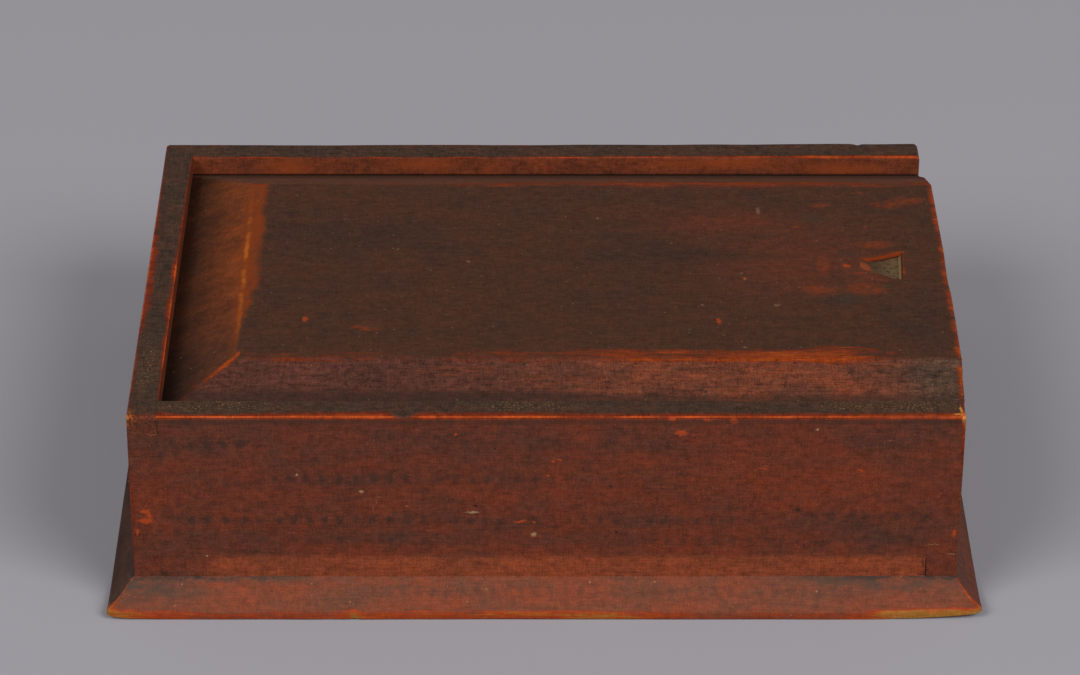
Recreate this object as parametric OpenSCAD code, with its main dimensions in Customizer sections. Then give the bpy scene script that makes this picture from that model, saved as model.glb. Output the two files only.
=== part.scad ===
// Slide-lid wooden box: dovetailed case on a bevelled base, with a raised-panel lid
// that draws out to the right (+X) in grooves, over a low end board.
// Millimetres. The origin is the centre of the base's underside, +Z is up, and -Y is the front.

/* [Case] */
// Length of the case, over both end boards
case_len = 254; // [200:1:320]
// Depth of the case, over the front and back boards
case_dep = 178; // [130:1:240]
// Height of the case, from the top of the base to the rim
case_h = 57.5; // [48:0.5:80]
// Thickness of the four case boards
board_t = 9.5; // [8:0.5:13]

/* [Bottom] */
// Thickness of the bottom board
bottom_t = 6.5; // [5:0.5:9]
// How far the bottom's long edges have shrunk back from the faces of the case
bottom_shrink = 0.2; // [0.1:0.1:1.5]

/* [Base] */
// Thickness of the base strips
base_t = 11; // [8:0.5:16]
// Upright edge left under the bevel
base_edge = 2.6; // [1.5:0.1:5]
// How far the base stands out from the case
base_out = 8.2; // [4:0.2:14]
// How far the base strips reach in under the case
base_under = 18; // [14:0.5:30]

/* [Lid] */
// Thickness of the lid at its raised field
lid_t = 12.7; // [10:0.1:16]
// Height of the field above the rim
lid_proud = 2; // [0:0.1:4]
// Width of the bevel, from the inner face of the case to the field
lid_bevel = 22.5; // [12:0.5:35]
// Width of the tongue that runs in the groove
lid_tongue = 4.6; // [3:0.1:6]
// Thickness of the tongue at its tip
lid_tip = 1.9; // [1.2:0.1:3]
// How far the lid's square end stands out past the case
lid_overhang = 1.8; // [0.2:0.1:5]
// How far in from the inner faces of the long boards the lid's outstanding end stops
nose_in = 2; // [0.5:0.1:5]
// Clearance between the tongue's tip and the end of the groove
side_clear = 0.4; // [0.2:0.05:0.8]
// Clearance above the tongue, and below it
rise_clear = 0.3; // [0.2:0.05:0.6]

/* [Thumb notch] */
// Length of the notch, from its tip to its wall
notch_len = 14; // [10:0.5:22]
// Width of the notch at its wall
notch_w = 18; // [12:0.5:26]
// Width of the notch at its tip
notch_tip = 10.5; // [4:0.5:12]
// Depth of the notch's floor below the field
notch_depth = 2; // [1:0.1:4]
// Length of the ramp from the tip down to the floor
notch_ramp = 4; // [2:0.5:8]
// How far the notch's wall leans over the depth of the notch
notch_lean = 1.2; // [0.2:0.1:2]
// Distance from the notch's wall to the lid's square end
notch_inset = 13.2; // [8:0.1:20]

/* [Dovetails] */
// Tails at the closed end, on each long board
closed_tails = 3; // [2:1:3]
// Tails at the open end, on each long board
open_tails = 2; // [1:1:2]
// Width of a whole pin at the outer face of its end board
pin_w = 5; // [3.5:0.1:6.5]
// Width of the half-pin at the top, at the outer face of its end board
half_pin = 4.7; // [3.5:0.1:6]
// Run of a tail's side for each unit that it flares
tail_run = 7; // [5:0.5:9]

/* [Brads] */
// Side of a brad's square shank
brad_w = 1.6; // [1.2:0.1:2.2]
// Side of a brad's square head
head_w = 3.2; // [2.6:0.1:4]
// Thickness of a brad's head
head_t = 0.8; // [0.5:0.1:1.2]
// Length of the brads through the bottom board
bottom_brad_len = 20; // [14:0.5:28]
// Length of the brads through the base strips
base_brad_len = 30; // [24:0.5:36]
// Depth of the base brads' heads under the face of the strips
brad_sink = 0.8; // [0.4:0.1:1.5]
// Brads through the bottom into each long board
bottom_brads_side = 4; // [2:1:4]
// Brads through each long base strip
base_brads_side = 3; // [1:2:3]
// Brads through each short base strip
base_brads_end = 2; // [2:1:3]

/* [Hidden] */

// Distance that a cutting shape runs past the face that it cuts
over = 1;

// Half sizes of the case, to its outer faces and to its inner faces
half_len = case_len / 2;
half_dep = case_dep / 2;
inner_len = half_len - board_t;
inner_dep = half_dep - board_t;

// Levels above the table
floor_z = base_t + bottom_t;
rim_z = base_t + case_h;
lid_z = rim_z + lid_proud - lid_t;

// Rise of the lid's bevel for each unit inwards from the tongue's tip
bevel_rise = (lid_t - lid_tip) / (lid_bevel + lid_tongue);

// The groove for the lid's tongue; the low end board stops at the groove's floor
groove_d = lid_tongue + side_clear;
groove_lo = lid_z - rise_clear;
groove_hi = lid_z + lid_tip + bevel_rise * lid_tongue + rise_clear;

// How much a pin widens on each side, from the outer face to the inner face of its board
flare = board_t / tail_run;

// A brad's distance in from the outer face of the board that it is driven into
brad_in = board_t / 2;

module extrude_y(from, to) {
    translate([0, to, 0])
        rotate([90, 0, 0])
            linear_extrude(to - from)
                children();
}

module extrude_x(from, to) {
    translate([from, 0, 0])
        rotate([90, 0, 90])
            linear_extrude(to - from)
                children();
}

// A pin's outline from bottom_z to top_z at the outer face, x = 0. It flares below by flare_lo and
// above by flare_hi up to the inner face, x = board_t, and starts past further out.
module pin_outline(bottom_z, top_z, flare_lo, flare_hi, past) {
    share = past / board_t;
    polygon([
        [-past, bottom_z + flare_lo * share],
        [board_t, bottom_z - flare_lo],
        [board_t, top_z + flare_hi],
        [-past, top_z - flare_hi * share]
    ]);
}

// All the pins of an end board that is top_z high, between the given number of tails
module pin_outlines(top_z, tails, past, past_top) {
    tails_top = top_z - half_pin;
    tail_pitch = (tails_top - floor_z) / tails;
    pin_outline(base_t - past, floor_z, 0, 0, past);
    pin_outline(tails_top, top_z + past_top, flare, 0, past);
    for (i = [1 : 1 : tails - 1]) {
        mid_z = floor_z + tail_pitch * i;
        pin_outline(mid_z - pin_w / 2, mid_z + pin_w / 2, flare, flare, past);
    }
}

// An end board at the closed end, x = -half_len, with its pins through both long boards
module end_board(top_z, tails) {
    translate([-half_len, -inner_dep, base_t])
        cube([board_t, 2 * inner_dep, top_z - base_t]);
    translate([-half_len, 0, 0])
        extrude_y(-half_dep, half_dep)
            pin_outlines(top_z, tails, 0, 0);
}

// The space that the pins of one end take out of a long board
module pin_sockets(top_z, tails, past_top) {
    translate([-half_len, 0, 0])
        extrude_y(-half_dep - over, -inner_dep + over)
            pin_outlines(top_z, tails, over, past_top);
}

// The groove along the front board, open at the right end
module long_groove() {
    translate([-inner_len - groove_d, -inner_dep - groove_d, groove_lo])
        cube([2 * inner_len + groove_d + board_t + over, groove_d + over, groove_hi - groove_lo]);
}

// The groove along the closed end board
module end_groove() {
    translate([-inner_len - groove_d, -inner_dep - groove_d, groove_lo])
        cube([groove_d + over, 2 * (inner_dep + groove_d), groove_hi - groove_lo]);
}

module long_board() {
    difference() {
        translate([-half_len, -half_dep, floor_z])
            cube([case_len, board_t, rim_z - floor_z]);
        pin_sockets(rim_z, closed_tails, over);
        mirror([1, 0, 0])
            pin_sockets(groove_lo, open_tails, 0);
        long_groove();
        bottom_brad_row();
        base_brad_row(case_len, half_dep, base_brads_side);
    }
}

// A base strip along the front of a face that is face_len long and face_d from the centre
module base_strip(face_len, face_d, brads) {
    outer_len = face_len / 2 + base_out;
    inner_run = face_len / 2 - base_under;
    difference() {
        intersection() {
            extrude_x(-outer_len, outer_len)
                polygon([
                    [-face_d + base_under, 0],
                    [-face_d - base_out, 0],
                    [-face_d - base_out, base_edge],
                    [-face_d, base_t],
                    [-face_d + base_under, base_t]
                ]);
            linear_extrude(base_t)
                polygon([
                    [-outer_len, -face_d - base_out],
                    [outer_len, -face_d - base_out],
                    [inner_run, -face_d + base_under],
                    [-inner_run, -face_d + base_under]
                ]);
        }
        base_brad_row(face_len, face_d, brads);
        base_brad_sinks(face_len, face_d, brads);
    }
}

// A square brad that points up, with the underside of its head at the origin
module brad(brad_len) {
    translate([-head_w / 2, -head_w / 2, 0])
        cube([head_w, head_w, head_t]);
    translate([-brad_w / 2, -brad_w / 2, 0])
        cube([brad_w, brad_w, brad_len]);
}

// Places children evenly along the front of a face
module along_face(face_len, face_d, count) {
    for (i = [0 : count - 1])
        translate([face_len * ((i + 0.5) / count - 0.5), -face_d + brad_in, 0])
            children();
}

module bottom_brad_row() {
    along_face(case_len, half_dep, bottom_brads_side)
        translate([0, 0, base_t])
            brad(bottom_brad_len);
}

module base_brad_row(face_len, face_d, count) {
    along_face(face_len, face_d, count)
        translate([0, 0, brad_sink])
            brad(base_brad_len);
}

module base_brad_sinks(face_len, face_d, count) {
    along_face(face_len, face_d, count)
        translate([-head_w / 2, -head_w / 2, -over])
            cube([head_w, head_w, brad_sink + over]);
}

module bottom_brad_set() {
    bottom_brad_row();
    mirror([0, 1, 0])
        bottom_brad_row();
}

module base_brad_set() {
    for (turn = [0, 180])
        rotate([0, 0, turn])
            base_brad_row(case_len, half_dep, base_brads_side);
    for (turn = [-90, 90])
        rotate([0, 0, turn])
            base_brad_row(case_dep, half_len, base_brads_end);
}

// The thumb notch: a short ramp down from its tip to a level floor, which ends at a leaning wall
module thumb_notch() {
    wall_x = half_len + lid_overhang - notch_inset;
    tip_x = wall_x - notch_len;
    field_z = lid_z + lid_t;
    intersection() {
        translate([0, 0, lid_z])
            linear_extrude(lid_t + over)
                polygon([
                    [tip_x, -notch_tip / 2],
                    [wall_x, -notch_w / 2],
                    [wall_x, notch_w / 2],
                    [tip_x, notch_tip / 2]
                ]);
        extrude_y(-notch_w, notch_w)
            polygon([
                [tip_x, field_z],
                [tip_x + notch_ramp, field_z - notch_depth],
                [wall_x - notch_lean, field_z - notch_depth],
                [wall_x, field_z],
                [wall_x, field_z + over],
                [tip_x, field_z + over]
            ]);
    }
}

// The corner cut from the lid's square end, so that its tongue stops at the end of the groove
module nose_cut() {
    translate([half_len, inner_dep - nose_in, lid_z - over])
        cube([lid_overhang + over, nose_in + lid_tongue + over, lid_t + 2 * over]);
}

module base_strip_front() {
    color("sienna")
        base_strip(case_len, half_dep, base_brads_side);
}

module base_strip_back() {
    color("sienna")
        rotate([0, 0, 180])
            base_strip(case_len, half_dep, base_brads_side);
}

module base_strip_left() {
    color("sienna")
        rotate([0, 0, -90])
            base_strip(case_dep, half_len, base_brads_end);
}

module base_strip_right() {
    color("sienna")
        rotate([0, 0, 90])
            base_strip(case_dep, half_len, base_brads_end);
}

module base_brads() {
    color("dimgray")
        base_brad_set();
}

module bottom_board() {
    color("peru")
        difference() {
            translate([-inner_len, -half_dep + bottom_shrink, base_t])
                cube([2 * inner_len, case_dep - 2 * bottom_shrink, bottom_t]);
            bottom_brad_set();
            base_brad_set();
        }
}

module bottom_brads() {
    color("dimgray")
        bottom_brad_set();
}

module left_end_board() {
    color("saddlebrown")
        difference() {
            end_board(rim_z, closed_tails);
            end_groove();
            base_brad_set();
        }
}

module right_end_board() {
    color("saddlebrown")
        difference() {
            mirror([1, 0, 0])
                end_board(groove_lo, open_tails);
            base_brad_set();
        }
}

module front_board() {
    color([0.38, 0.19, 0.13])
        long_board();
}

module back_board() {
    color([0.38, 0.19, 0.13])
        mirror([0, 1, 0])
            long_board();
}

module lid_panel() {
    tip_dep = inner_dep + lid_tongue;
    field_dep = inner_dep - lid_bevel;
    tip_x = -inner_len - lid_tongue;
    field_x = -inner_len + lid_bevel;
    end_x = half_len + lid_overhang;
    color([0.29, 0.18, 0.13])
        difference() {
            translate([0, 0, lid_z])
                intersection() {
                    extrude_x(tip_x, end_x)
                        polygon([
                            [-tip_dep, 0],
                            [tip_dep, 0],
                            [tip_dep, lid_tip],
                            [field_dep, lid_t],
                            [-field_dep, lid_t],
                            [-tip_dep, lid_tip]
                        ]);
                    extrude_y(-tip_dep, tip_dep)
                        polygon([
                            [tip_x, 0],
                            [end_x, 0],
                            [end_x, lid_t],
                            [field_x, lid_t],
                            [tip_x, lid_tip]
                        ]);
                }
            thumb_notch();
            for (side = [0, 1])
                mirror([0, side, 0])
                    nose_cut();
        }
}

base_strip_front();
base_strip_back();
base_strip_left();
base_strip_right();
base_brads();
bottom_board();
bottom_brads();
left_end_board();
right_end_board();
front_board();
back_board();
lid_panel();
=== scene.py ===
import math

import bmesh
import bpy
import numpy as np
from mathutils import Matrix, Vector


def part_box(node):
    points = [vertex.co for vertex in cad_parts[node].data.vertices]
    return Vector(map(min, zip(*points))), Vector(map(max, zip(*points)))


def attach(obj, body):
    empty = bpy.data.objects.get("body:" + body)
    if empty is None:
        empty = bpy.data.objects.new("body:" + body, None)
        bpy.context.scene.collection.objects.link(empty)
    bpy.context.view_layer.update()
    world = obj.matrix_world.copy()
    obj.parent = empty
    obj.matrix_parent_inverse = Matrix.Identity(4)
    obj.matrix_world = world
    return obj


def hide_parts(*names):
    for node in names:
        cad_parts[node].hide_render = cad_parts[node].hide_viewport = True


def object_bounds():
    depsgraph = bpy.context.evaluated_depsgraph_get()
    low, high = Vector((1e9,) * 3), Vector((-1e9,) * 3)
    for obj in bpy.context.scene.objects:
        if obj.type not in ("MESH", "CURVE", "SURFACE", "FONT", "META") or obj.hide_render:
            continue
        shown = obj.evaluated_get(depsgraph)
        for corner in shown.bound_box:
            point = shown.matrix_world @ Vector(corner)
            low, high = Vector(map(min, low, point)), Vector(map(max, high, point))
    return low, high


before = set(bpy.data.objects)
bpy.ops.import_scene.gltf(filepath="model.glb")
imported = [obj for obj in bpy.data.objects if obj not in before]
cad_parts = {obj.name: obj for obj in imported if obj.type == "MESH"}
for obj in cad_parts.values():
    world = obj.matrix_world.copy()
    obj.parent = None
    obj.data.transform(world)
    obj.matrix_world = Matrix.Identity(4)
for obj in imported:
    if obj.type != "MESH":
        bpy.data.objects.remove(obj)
cad_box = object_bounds()
# The pieces are reckoned in millimetres until their points go back into a mesh. The table, the light and
# the camera are in metres.
mm = 0.001


# The base: four softwood strips, bevelled along their top outer edge, mitred at the corners and nailed up
# into the case from below. Old red paint, dusty on the bevels, rubbed to orange along the foot, and worn to
# bare wood at the corners. It was never painted underneath.

base_x, base_y = cad_box[1].x / mm, cad_box[1].y / mm
base_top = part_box("base_strip_front")[1].z / mm
base_edge = 2.6
case_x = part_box("front_board")[1].x / mm
case_y = -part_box("front_board")[0].y / mm


def stations(low, high, arrises, pitch):
    """Where to cut a board between two ends: at an even pitch, and closely on both sides of each arris."""
    steps = (0.35, 0.8, 1.4, 2.4)
    least_gap = 0.3
    end_margin = 0.2
    close = [arris + side * step for arris in arrises for step in steps for side in (-1, 1)]
    chosen = []
    for place in sorted([*np.arange(low + pitch / 2, high, pitch), *close]):
        apart = not chosen or place - chosen[-1] > least_gap
        if apart and low + end_margin < place < high - end_margin:
            chosen.append(place)
    return chosen


def cut_board(node, name, arrises, pitch):
    """Copies a node's solid as a new piece and cuts its faces into small cells, closest at the arrises, so
    that it can be worn."""
    weld = 0.001 * mm
    shape = bmesh.new()
    shape.from_mesh(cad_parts[node].data)
    bmesh.ops.remove_doubles(shape, verts=shape.verts, dist=weld)
    bmesh.ops.dissolve_limit(shape, angle_limit=math.radians(1), verts=shape.verts, edges=shape.edges)
    low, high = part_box(node)
    for axis in range(3):
        across = Vector((0, 0, 0))
        across[axis] = 1
        for place in stations(low[axis] / mm, high[axis] / mm, arrises[axis], pitch):
            every = shape.verts[:] + shape.edges[:] + shape.faces[:]
            cut = across * place * mm
            bmesh.ops.bisect_plane(shape, geom=every, dist=weld, plane_co=cut, plane_no=across)
    many_sided = [face for face in shape.faces if len(face.verts) > 4]
    bmesh.ops.triangulate(shape, faces=many_sided)
    bmesh.ops.subdivide_edges(shape, edges=shape.edges, cuts=1, use_grid_fill=True)
    piece = bpy.data.objects.new(name, bpy.data.meshes.new(name))
    shape.to_mesh(piece.data)
    shape.free()
    bpy.context.scene.collection.objects.link(piece)
    return piece


def points_of(piece):
    """A piece's points in millimetres, one row each."""
    at = np.empty(len(piece.data.vertices) * 3)
    piece.data.vertices.foreach_get("co", at)
    return at.reshape(-1, 3) / mm


def finish_board(piece, at, masks, finishes):
    """Puts the worn points back, keeps the masks for the materials, and smooths all but the true edges."""
    piece.data.vertices.foreach_set("co", (at * mm).ravel())
    for name, values in masks.items():
        piece.data.attributes.new(name, "FLOAT", "POINT").data.foreach_set("value", values)
    piece.data.shade_smooth()
    piece.data.set_sharp_from_angle(angle=math.radians(32))
    piece.data.update()
    for finish in finishes:
        piece.data.materials.append(finish)


def wander(along, pitch, seed):
    """A smooth random curve from -1 to 1, with a bend about every pitch."""
    knots = np.random.default_rng(seed).uniform(-1, 1, 512)
    place = along / pitch + 256
    left = np.floor(place).astype(int)
    share = place - left
    share = share * share * (3 - 2 * share)
    return knots[left] * (1 - share) + knots[left + 1] * share


def hump(along, centre, half):
    """A soft bump of height 1 around a place."""
    return np.exp(-((along - centre) / half) ** 2)


def ramp(value, start, end):
    """Rises evenly from 0 at start to 1 at end."""
    return np.clip((value - start) / (end - start), 0, 1)


def rounded(a, b, radius):
    """Moves points that lie a and b inside two faces onto a round arris of the given radius."""
    out_a = np.maximum(radius - a, 0)
    out_b = np.maximum(radius - b, 0)
    pull = np.maximum(out_a, out_b) / np.maximum(np.hypot(out_a, out_b), 1e-9)
    near = (out_a > 0) & (out_b > 0)
    return np.where(near, radius - out_a * pull, a), np.where(near, radius - out_b * pull, b)


def wear_arris(at, wear, run, span, first, second, size, level, seed):
    """Rounds the arris where two faces meet, by about size, and marks it as worn by about level. run is its
    axis and span its two ends; first and second are each a face's axis, place and inward direction."""
    along = at[:, run]
    first_axis, first_place, first_in = first
    second_axis, second_place, second_in = second
    a = (at[:, first_axis] - first_place) * first_in
    b = (at[:, second_axis] - second_place) * second_in
    radius = size * (1 + 0.3 * wander(along, 14, seed))
    slack = 0.7
    here = (along > span[0]) & (along < span[1]) & (a > -slack) & (b > -slack)
    inside = np.maximum(a, b)
    fade = 0.5 * hump(inside, 0, 0.45) + 0.5 * np.clip(1 - inside / (2.6 * radius), 0, 1)
    mark = level * fade * (1 + 0.3 * wander(along, 9, seed + 1))
    wear[here] = np.maximum(wear, mark)[here]
    new_a, new_b = rounded(a, b, radius)
    at[here, first_axis] = (first_place + first_in * new_a)[here]
    at[here, second_axis] = (second_place + second_in * new_b)[here]


def wear_base(at):
    """Rubs the base back at its edge, lifts its foot where it has worn away and rounds its arrises."""
    x, y, z = at.T.copy()
    out_x = ramp(abs(x), case_x, base_x)
    out_y = ramp(abs(y), case_y, base_y)
    out = np.maximum(out_x, out_y)
    front = (y < 0) & (out_x < out_y + 0.1)
    low = np.clip(1 - z / (2.4 * base_edge), 0, 1)

    # The foot has worn away, most at the corners, and the front has lost two small bits of it.
    from_right = np.hypot(x - base_x, y + base_y)
    from_left = np.hypot(x + base_x, y + base_y)
    from_back = np.hypot(abs(x) - base_x, y - base_y)
    lift = 0.1 * (1 + wander(x + y, 23, 11))
    lift += 1.5 * np.clip(1 - from_right / 32, 0, 1) + 1.3 * np.exp(-from_right / 5)
    lift += 1.9 * np.exp(-from_left / 5) + 0.9 * np.exp(-from_back / 7)
    lift += front * 0.35 * hump(x, -66, 7)
    small_loss = front * hump(x, -58.5, 1.3)
    lift += 0.5 * small_loss
    at[:, 2] += lift * low * out

    # The sides and bevels are rubbed back unevenly, the mitres eased and the edge over the foot softened.
    rub = 0.22
    at[:, 0] -= np.sign(x) * out_x * rub * (1 + 0.6 * wander(y, 27, 12))
    at[:, 1] -= np.sign(y) * out_y * rub * (1 + 0.6 * wander(x, 27, 13))
    on_bevel = (z > base_edge) & (out > 0)
    at[:, 2] -= on_bevel * 0.1 * (1 + wander(x - y, 31, 14)) * out * (1 - out) * 4
    mitre = abs(abs(x) - abs(y) - (base_x - base_y)) / math.sqrt(2)
    ease = np.clip(1 - mitre / 1.2, 0, 1) ** 2 * (out > 0)
    at[:, 0] -= np.sign(x) * rub * ease
    at[:, 1] -= np.sign(y) * rub * ease
    at[:, 2] -= 0.12 * ease * (z > base_edge)
    edge = np.clip(1 - abs(z - base_edge) / 1.1, 0, 1) ** 2 * (out > 0.8)
    at[:, 0] -= np.sign(x) * 0.16 * edge * (out_x > 0.8)
    at[:, 1] -= np.sign(y) * 0.16 * edge * (out_y > 0.8)
    at[:, 2] -= 0.1 * edge

    # Paint is rubbed along the foot and the mitres, and down to the wood at the right of the front, at the
    # left corner and at one loss. There never was any underneath or within.
    at_foot = (1 - ramp(z, 0.75 * base_edge, 1.45 * base_edge)) * (out > 0.75)
    wear = 0.58 * at_foot * (1 - 0.85 * (out_x > out_y))
    on_mitre = np.clip(1 - mitre / 0.9, 0, 1) * (out > 0.05)
    wear = np.maximum(wear, (0.75 - 0.15 * (x > 0)) * on_mitre)
    bare = np.maximum(front * ramp(x, 92, 106), 0.85 * np.clip(1 - from_left / 18, 0, 1))
    bare = np.maximum(bare, 0.8 * small_loss)
    wear += 0.5 * bare * (1 - ramp(z, 1.15 * base_edge, 1.65 * base_edge)) * (out > 0.7)
    underneath = (z < 0.05) & (out < 0.7)
    within = (abs(x) < case_x - 0.5) & (abs(y) < case_y - 0.5)
    unpainted = np.where(underneath | within, 1.0, 0.0)

    for side in (-1, 1):
        for axis, half, other in ((0, base_x, base_y), (1, base_y, base_x)):
            face = (axis, side * half, -side)
            wear_arris(at, wear, 1 - axis, (-other, other), face, (2, 0, 1), 0.6, 0, 15 + axis + side)
        for end in (-1, 1):
            faces = ((0, side * base_x, -side), (1, end * base_y, -end))
            wear_arris(at, wear, 2, (-1, base_top), *faces, 1.4, 0.6, 21 + 2 * side + end)
    at[:, 2] = np.maximum(at[:, 2], 0)
    return {"wear": wear, "unpainted": unpainted}


def linear(red, green, blue):
    """A screen colour, 0 to 255, as the light values that a shader takes."""
    values = np.array([red, green, blue]) / 255
    return (*np.where(values > 0.04045, ((values + 0.055) / 1.055) ** 2.4, values / 12.92), 1)


def put(kind, feeds, tree=None, **settings):
    """Adds a shader node, sets it up, and feeds its inputs with values, screen colours or other nodes'
    outputs. It goes into the given tree, or else into the tree of those outputs."""
    if tree is None:
        tree = next(value.id_data for value in feeds.values() if isinstance(value, bpy.types.NodeSocket))
    node = tree.nodes.new("ShaderNode" + kind)
    for name, value in settings.items():
        setattr(node, name, value)
    for name, value in feeds.items():
        socket = node.inputs[name]
        if isinstance(value, bpy.types.NodeSocket):
            tree.links.new(value, socket)
        else:
            socket.default_value = linear(*value) if socket.type == "RGBA" else value
    return node


def calc(operation, first, second=0.0, third=0.0, clamp=False):
    """One step of arithmetic."""
    feeds = {0: first, 1: second, 2: third}
    return put("Math", feeds, operation=operation, use_clamp=clamp).outputs[0]


def times(first, second, plus=0.0, clamp=False):
    """Two values multiplied, with a third added to them."""
    return calc("MULTIPLY_ADD", first, second, plus, clamp)


def vector_calc(operation, first, second=(0, 0, 0), third=(0, 0, 0)):
    """One step of arithmetic on vectors."""
    return put("VectorMath", {0: first, 1: second, 2: third}, operation=operation).outputs


def parts_of(vector):
    """A vector's x, y and z."""
    return put("SeparateXYZ", {0: vector}).outputs


def use(group, feeds):
    """What a shader group puts out."""
    return put("Group", feeds, node_tree=group).outputs


def step(value, start, end):
    """A soft step from 0 at start to 1 at end."""
    feeds = {"Value": value, "From Min": start, "From Max": end}
    return put("MapRange", feeds, interpolation_type="SMOOTHSTEP").outputs["Result"]


def layer(under, over, cover):
    """One colour over another, as far as it covers."""
    return put("Mix", {"Factor": cover, 6: under, 7: over}, data_type="RGBA").outputs[2]


def coat(under, over, cover, share):
    """One colour over another, by a share of its cover."""
    return layer(under, over, times(cover, share))


def noise(vector, size, detail=2.0, rough=0.55):
    """Cloudy noise around a half, whose lumps are about size long on each axis."""
    scale = [1 / length for length in size]
    stretched = put("Mapping", {"Vector": vector, "Scale": scale}).outputs[0]
    feeds = {"Vector": stretched, "Scale": 1.0, "Detail": detail, "Roughness": rough}
    return put("TexNoise", feeds).outputs[0]


def new_group(name, inputs, outputs):
    """A shader group, with its sockets given as name and kind."""
    tree = bpy.data.node_groups.new(name, "ShaderNodeTree")
    for socket, kind in inputs.items():
        tree.interface.new_socket(socket, in_out="INPUT", socket_type="NodeSocket" + kind)
    for socket, kind in outputs.items():
        tree.interface.new_socket(socket, in_out="OUTPUT", socket_type="NodeSocket" + kind)
    return tree, tree.nodes.new("NodeGroupInput").outputs, tree.nodes.new("NodeGroupOutput").inputs


# Old paint in layers: bare wood, thin orange paint, red paint, and a dark patina that covers most of it.
# The grain runs along x of Grain. Wear above about a third shows thin paint, and towards 1 bare wood.
paint_inputs = {"Grain": "Vector", "Place": "Vector", "Wear": "Float", "Cover": "Float",
                "Streaks": "Float", "Ragged": "Float", "Contrast": "Float", "Patina": "Color",
                "Paint": "Color", "Thin": "Color", "Wood": "Color"}
paint_outputs = {"Color": "Color", "Roughness": "Float", "Height": "Float"}
old_paint, given, out = new_group("old_paint", paint_inputs, paint_outputs)
lines = noise(given["Grain"], (8, 0.5, 0.5), 3.0, 0.65)
weave = noise(given["Grain"], (0.5, 3, 3))
grit = noise(given["Place"], (0.42, 0.42, 0.42), 2.0, 0.7)
lumps = noise(given["Place"], (2.6, 1.7, 1.7), 2.0, 0.6)
bands = noise(given["Place"], (40, 5, 5), 4.0, 0.6)
clouds = noise(given["Place"], (16, 11, 11), 4.0, 0.65)
fine = times(lines, 0.2, times(weave, 0.14))
fine = times(grit, 0.42, times(lumps, 0.24, fine))
broad = times(bands, 0.35, times(clouds, 0.65))
mixed = times(fine, 0.3, calc("SUBTRACT", broad, 0.65))
cover = times(mixed, given["Streaks"], given["Cover"], clamp=True)
body = layer(given["Paint"], given["Patina"], cover)
frayed = times(lines, 0.8, times(grit, 0.5))
frayed = times(bands, 0.7, calc("SUBTRACT", frayed, 1.0))
where_worn = step(given["Wear"], 0.03, 0.3)
frayed = times(frayed, times(given["Ragged"], where_worn))
rubbed = calc("ADD", given["Wear"], frayed)
thin = step(rubbed, 0.26, 0.58)
bare = step(rubbed, 0.56, 1.15)
worn = layer(layer(body, given["Thin"], thin), given["Wood"], bare)
pits = calc("SUBTRACT", step(grit, 0.62, 0.74), step(grit, 0.38, 0.28))
relief = times(pits, 0.12, calc("SUBTRACT", 0.5, fine))
shade = times(relief, given["Contrast"], 1.0)
toned = put("VectorMath", {0: worn, "Scale": shade}, operation="SCALE").outputs[0]
height = calc("SUBTRACT", fine, times(thin, 0.4))
polish = times(thin, -0.1, times(fine, 0.3, 0.36))
old_paint.links.new(toned, out["Color"])
old_paint.links.new(times(cover, 0.1, polish), out["Roughness"])
old_paint.links.new(height, out["Height"])

# Bare softwood gone brown: bands of growth rings, fine fibres along x of Vector, and broad stains.
wood_inputs = {"Vector": "Vector", "Pale": "Color", "Dark": "Color"}
aged_wood, given, out = new_group("aged_wood", wood_inputs, paint_outputs)
rings = noise(given["Vector"], (160, 6, 9))
rings = calc("PINGPONG", times(rings, 9.0), 1.0)
fibre = noise(given["Vector"], (14, 0.5, 0.5), 3.0, 0.65)
stain = noise(given["Vector"], (40, 26, 26), 3.0)
dark = calc("ADD", times(rings, 0.35), times(fibre, 0.5))
dark = times(stain, 0.7, calc("SUBTRACT", dark, 0.3), clamp=True)
aged_wood.links.new(layer(given["Pale"], given["Dark"], dark), out["Color"])
aged_wood.links.new(times(fibre, 0.3, 0.55), out["Roughness"])
aged_wood.links.new(fibre, out["Height"])

# Specks of pale dust and chipped grit: a share of the cells of a lattice holds one round speck each.
specks, given, out = new_group("specks", {"Vector": "Vector", "Pitch": "Float", "Share": "Float"},
                               {"Mask": "Float"})
scale = calc("DIVIDE", 1.0, given["Pitch"])
cells = put("TexVoronoi", {"Vector": given["Vector"], "Scale": scale})
chance = put("SeparateColor", {0: cells.outputs["Color"]}).outputs
reach = times(chance[1], 0.16, 0.07)
far = calc("DIVIDE", cells.outputs["Distance"], reach)
dot = calc("SUBTRACT", 1.0, step(far, 0.4, 1.2))
picked = calc("LESS_THAN", chance[0], given["Share"])
specks.links.new(times(dot, picked), out["Mask"])

# One row of smudged ticks, left where a plane's iron chattered along the board, or the rows before it where
# they are stronger. The row lies at Height and runs in x from Start to End.
row_inputs = {"Vector": "Vector", "Smudge": "Float", "Drift": "Float", "Pitch": "Float", "Height": "Float",
              "Start": "Float", "End": "Float", "Strength": "Float", "Before": "Float"}
tick_row, given, out = new_group("tick_row", row_inputs, {"Mask": "Float"})
x, _, z = parts_of(given["Vector"])
phase = calc("ADD", calc("DIVIDE", x, given["Pitch"]), given["Drift"])
across = times(calc("PINGPONG", phase, 0.5), 3.7)
upright = calc("DIVIDE", calc("SUBTRACT", z, given["Height"]), 2.0)
far = calc("SQRT", times(across, across, times(upright, upright)))
far = times(given["Smudge"], 2.4, calc("SUBTRACT", far, 1.2))
dot = step(far, 1.15, 0.3)
begun = step(x, given["Start"], calc("ADD", given["Start"], 6))
ended = step(x, calc("SUBTRACT", given["End"], 6), given["End"])
there = times(begun, calc("SUBTRACT", 1.0, ended))
dot = times(times(dot, there), given["Strength"])
tick_row.links.new(calc("MAXIMUM", dot, given["Before"]), out["Mask"])


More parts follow.
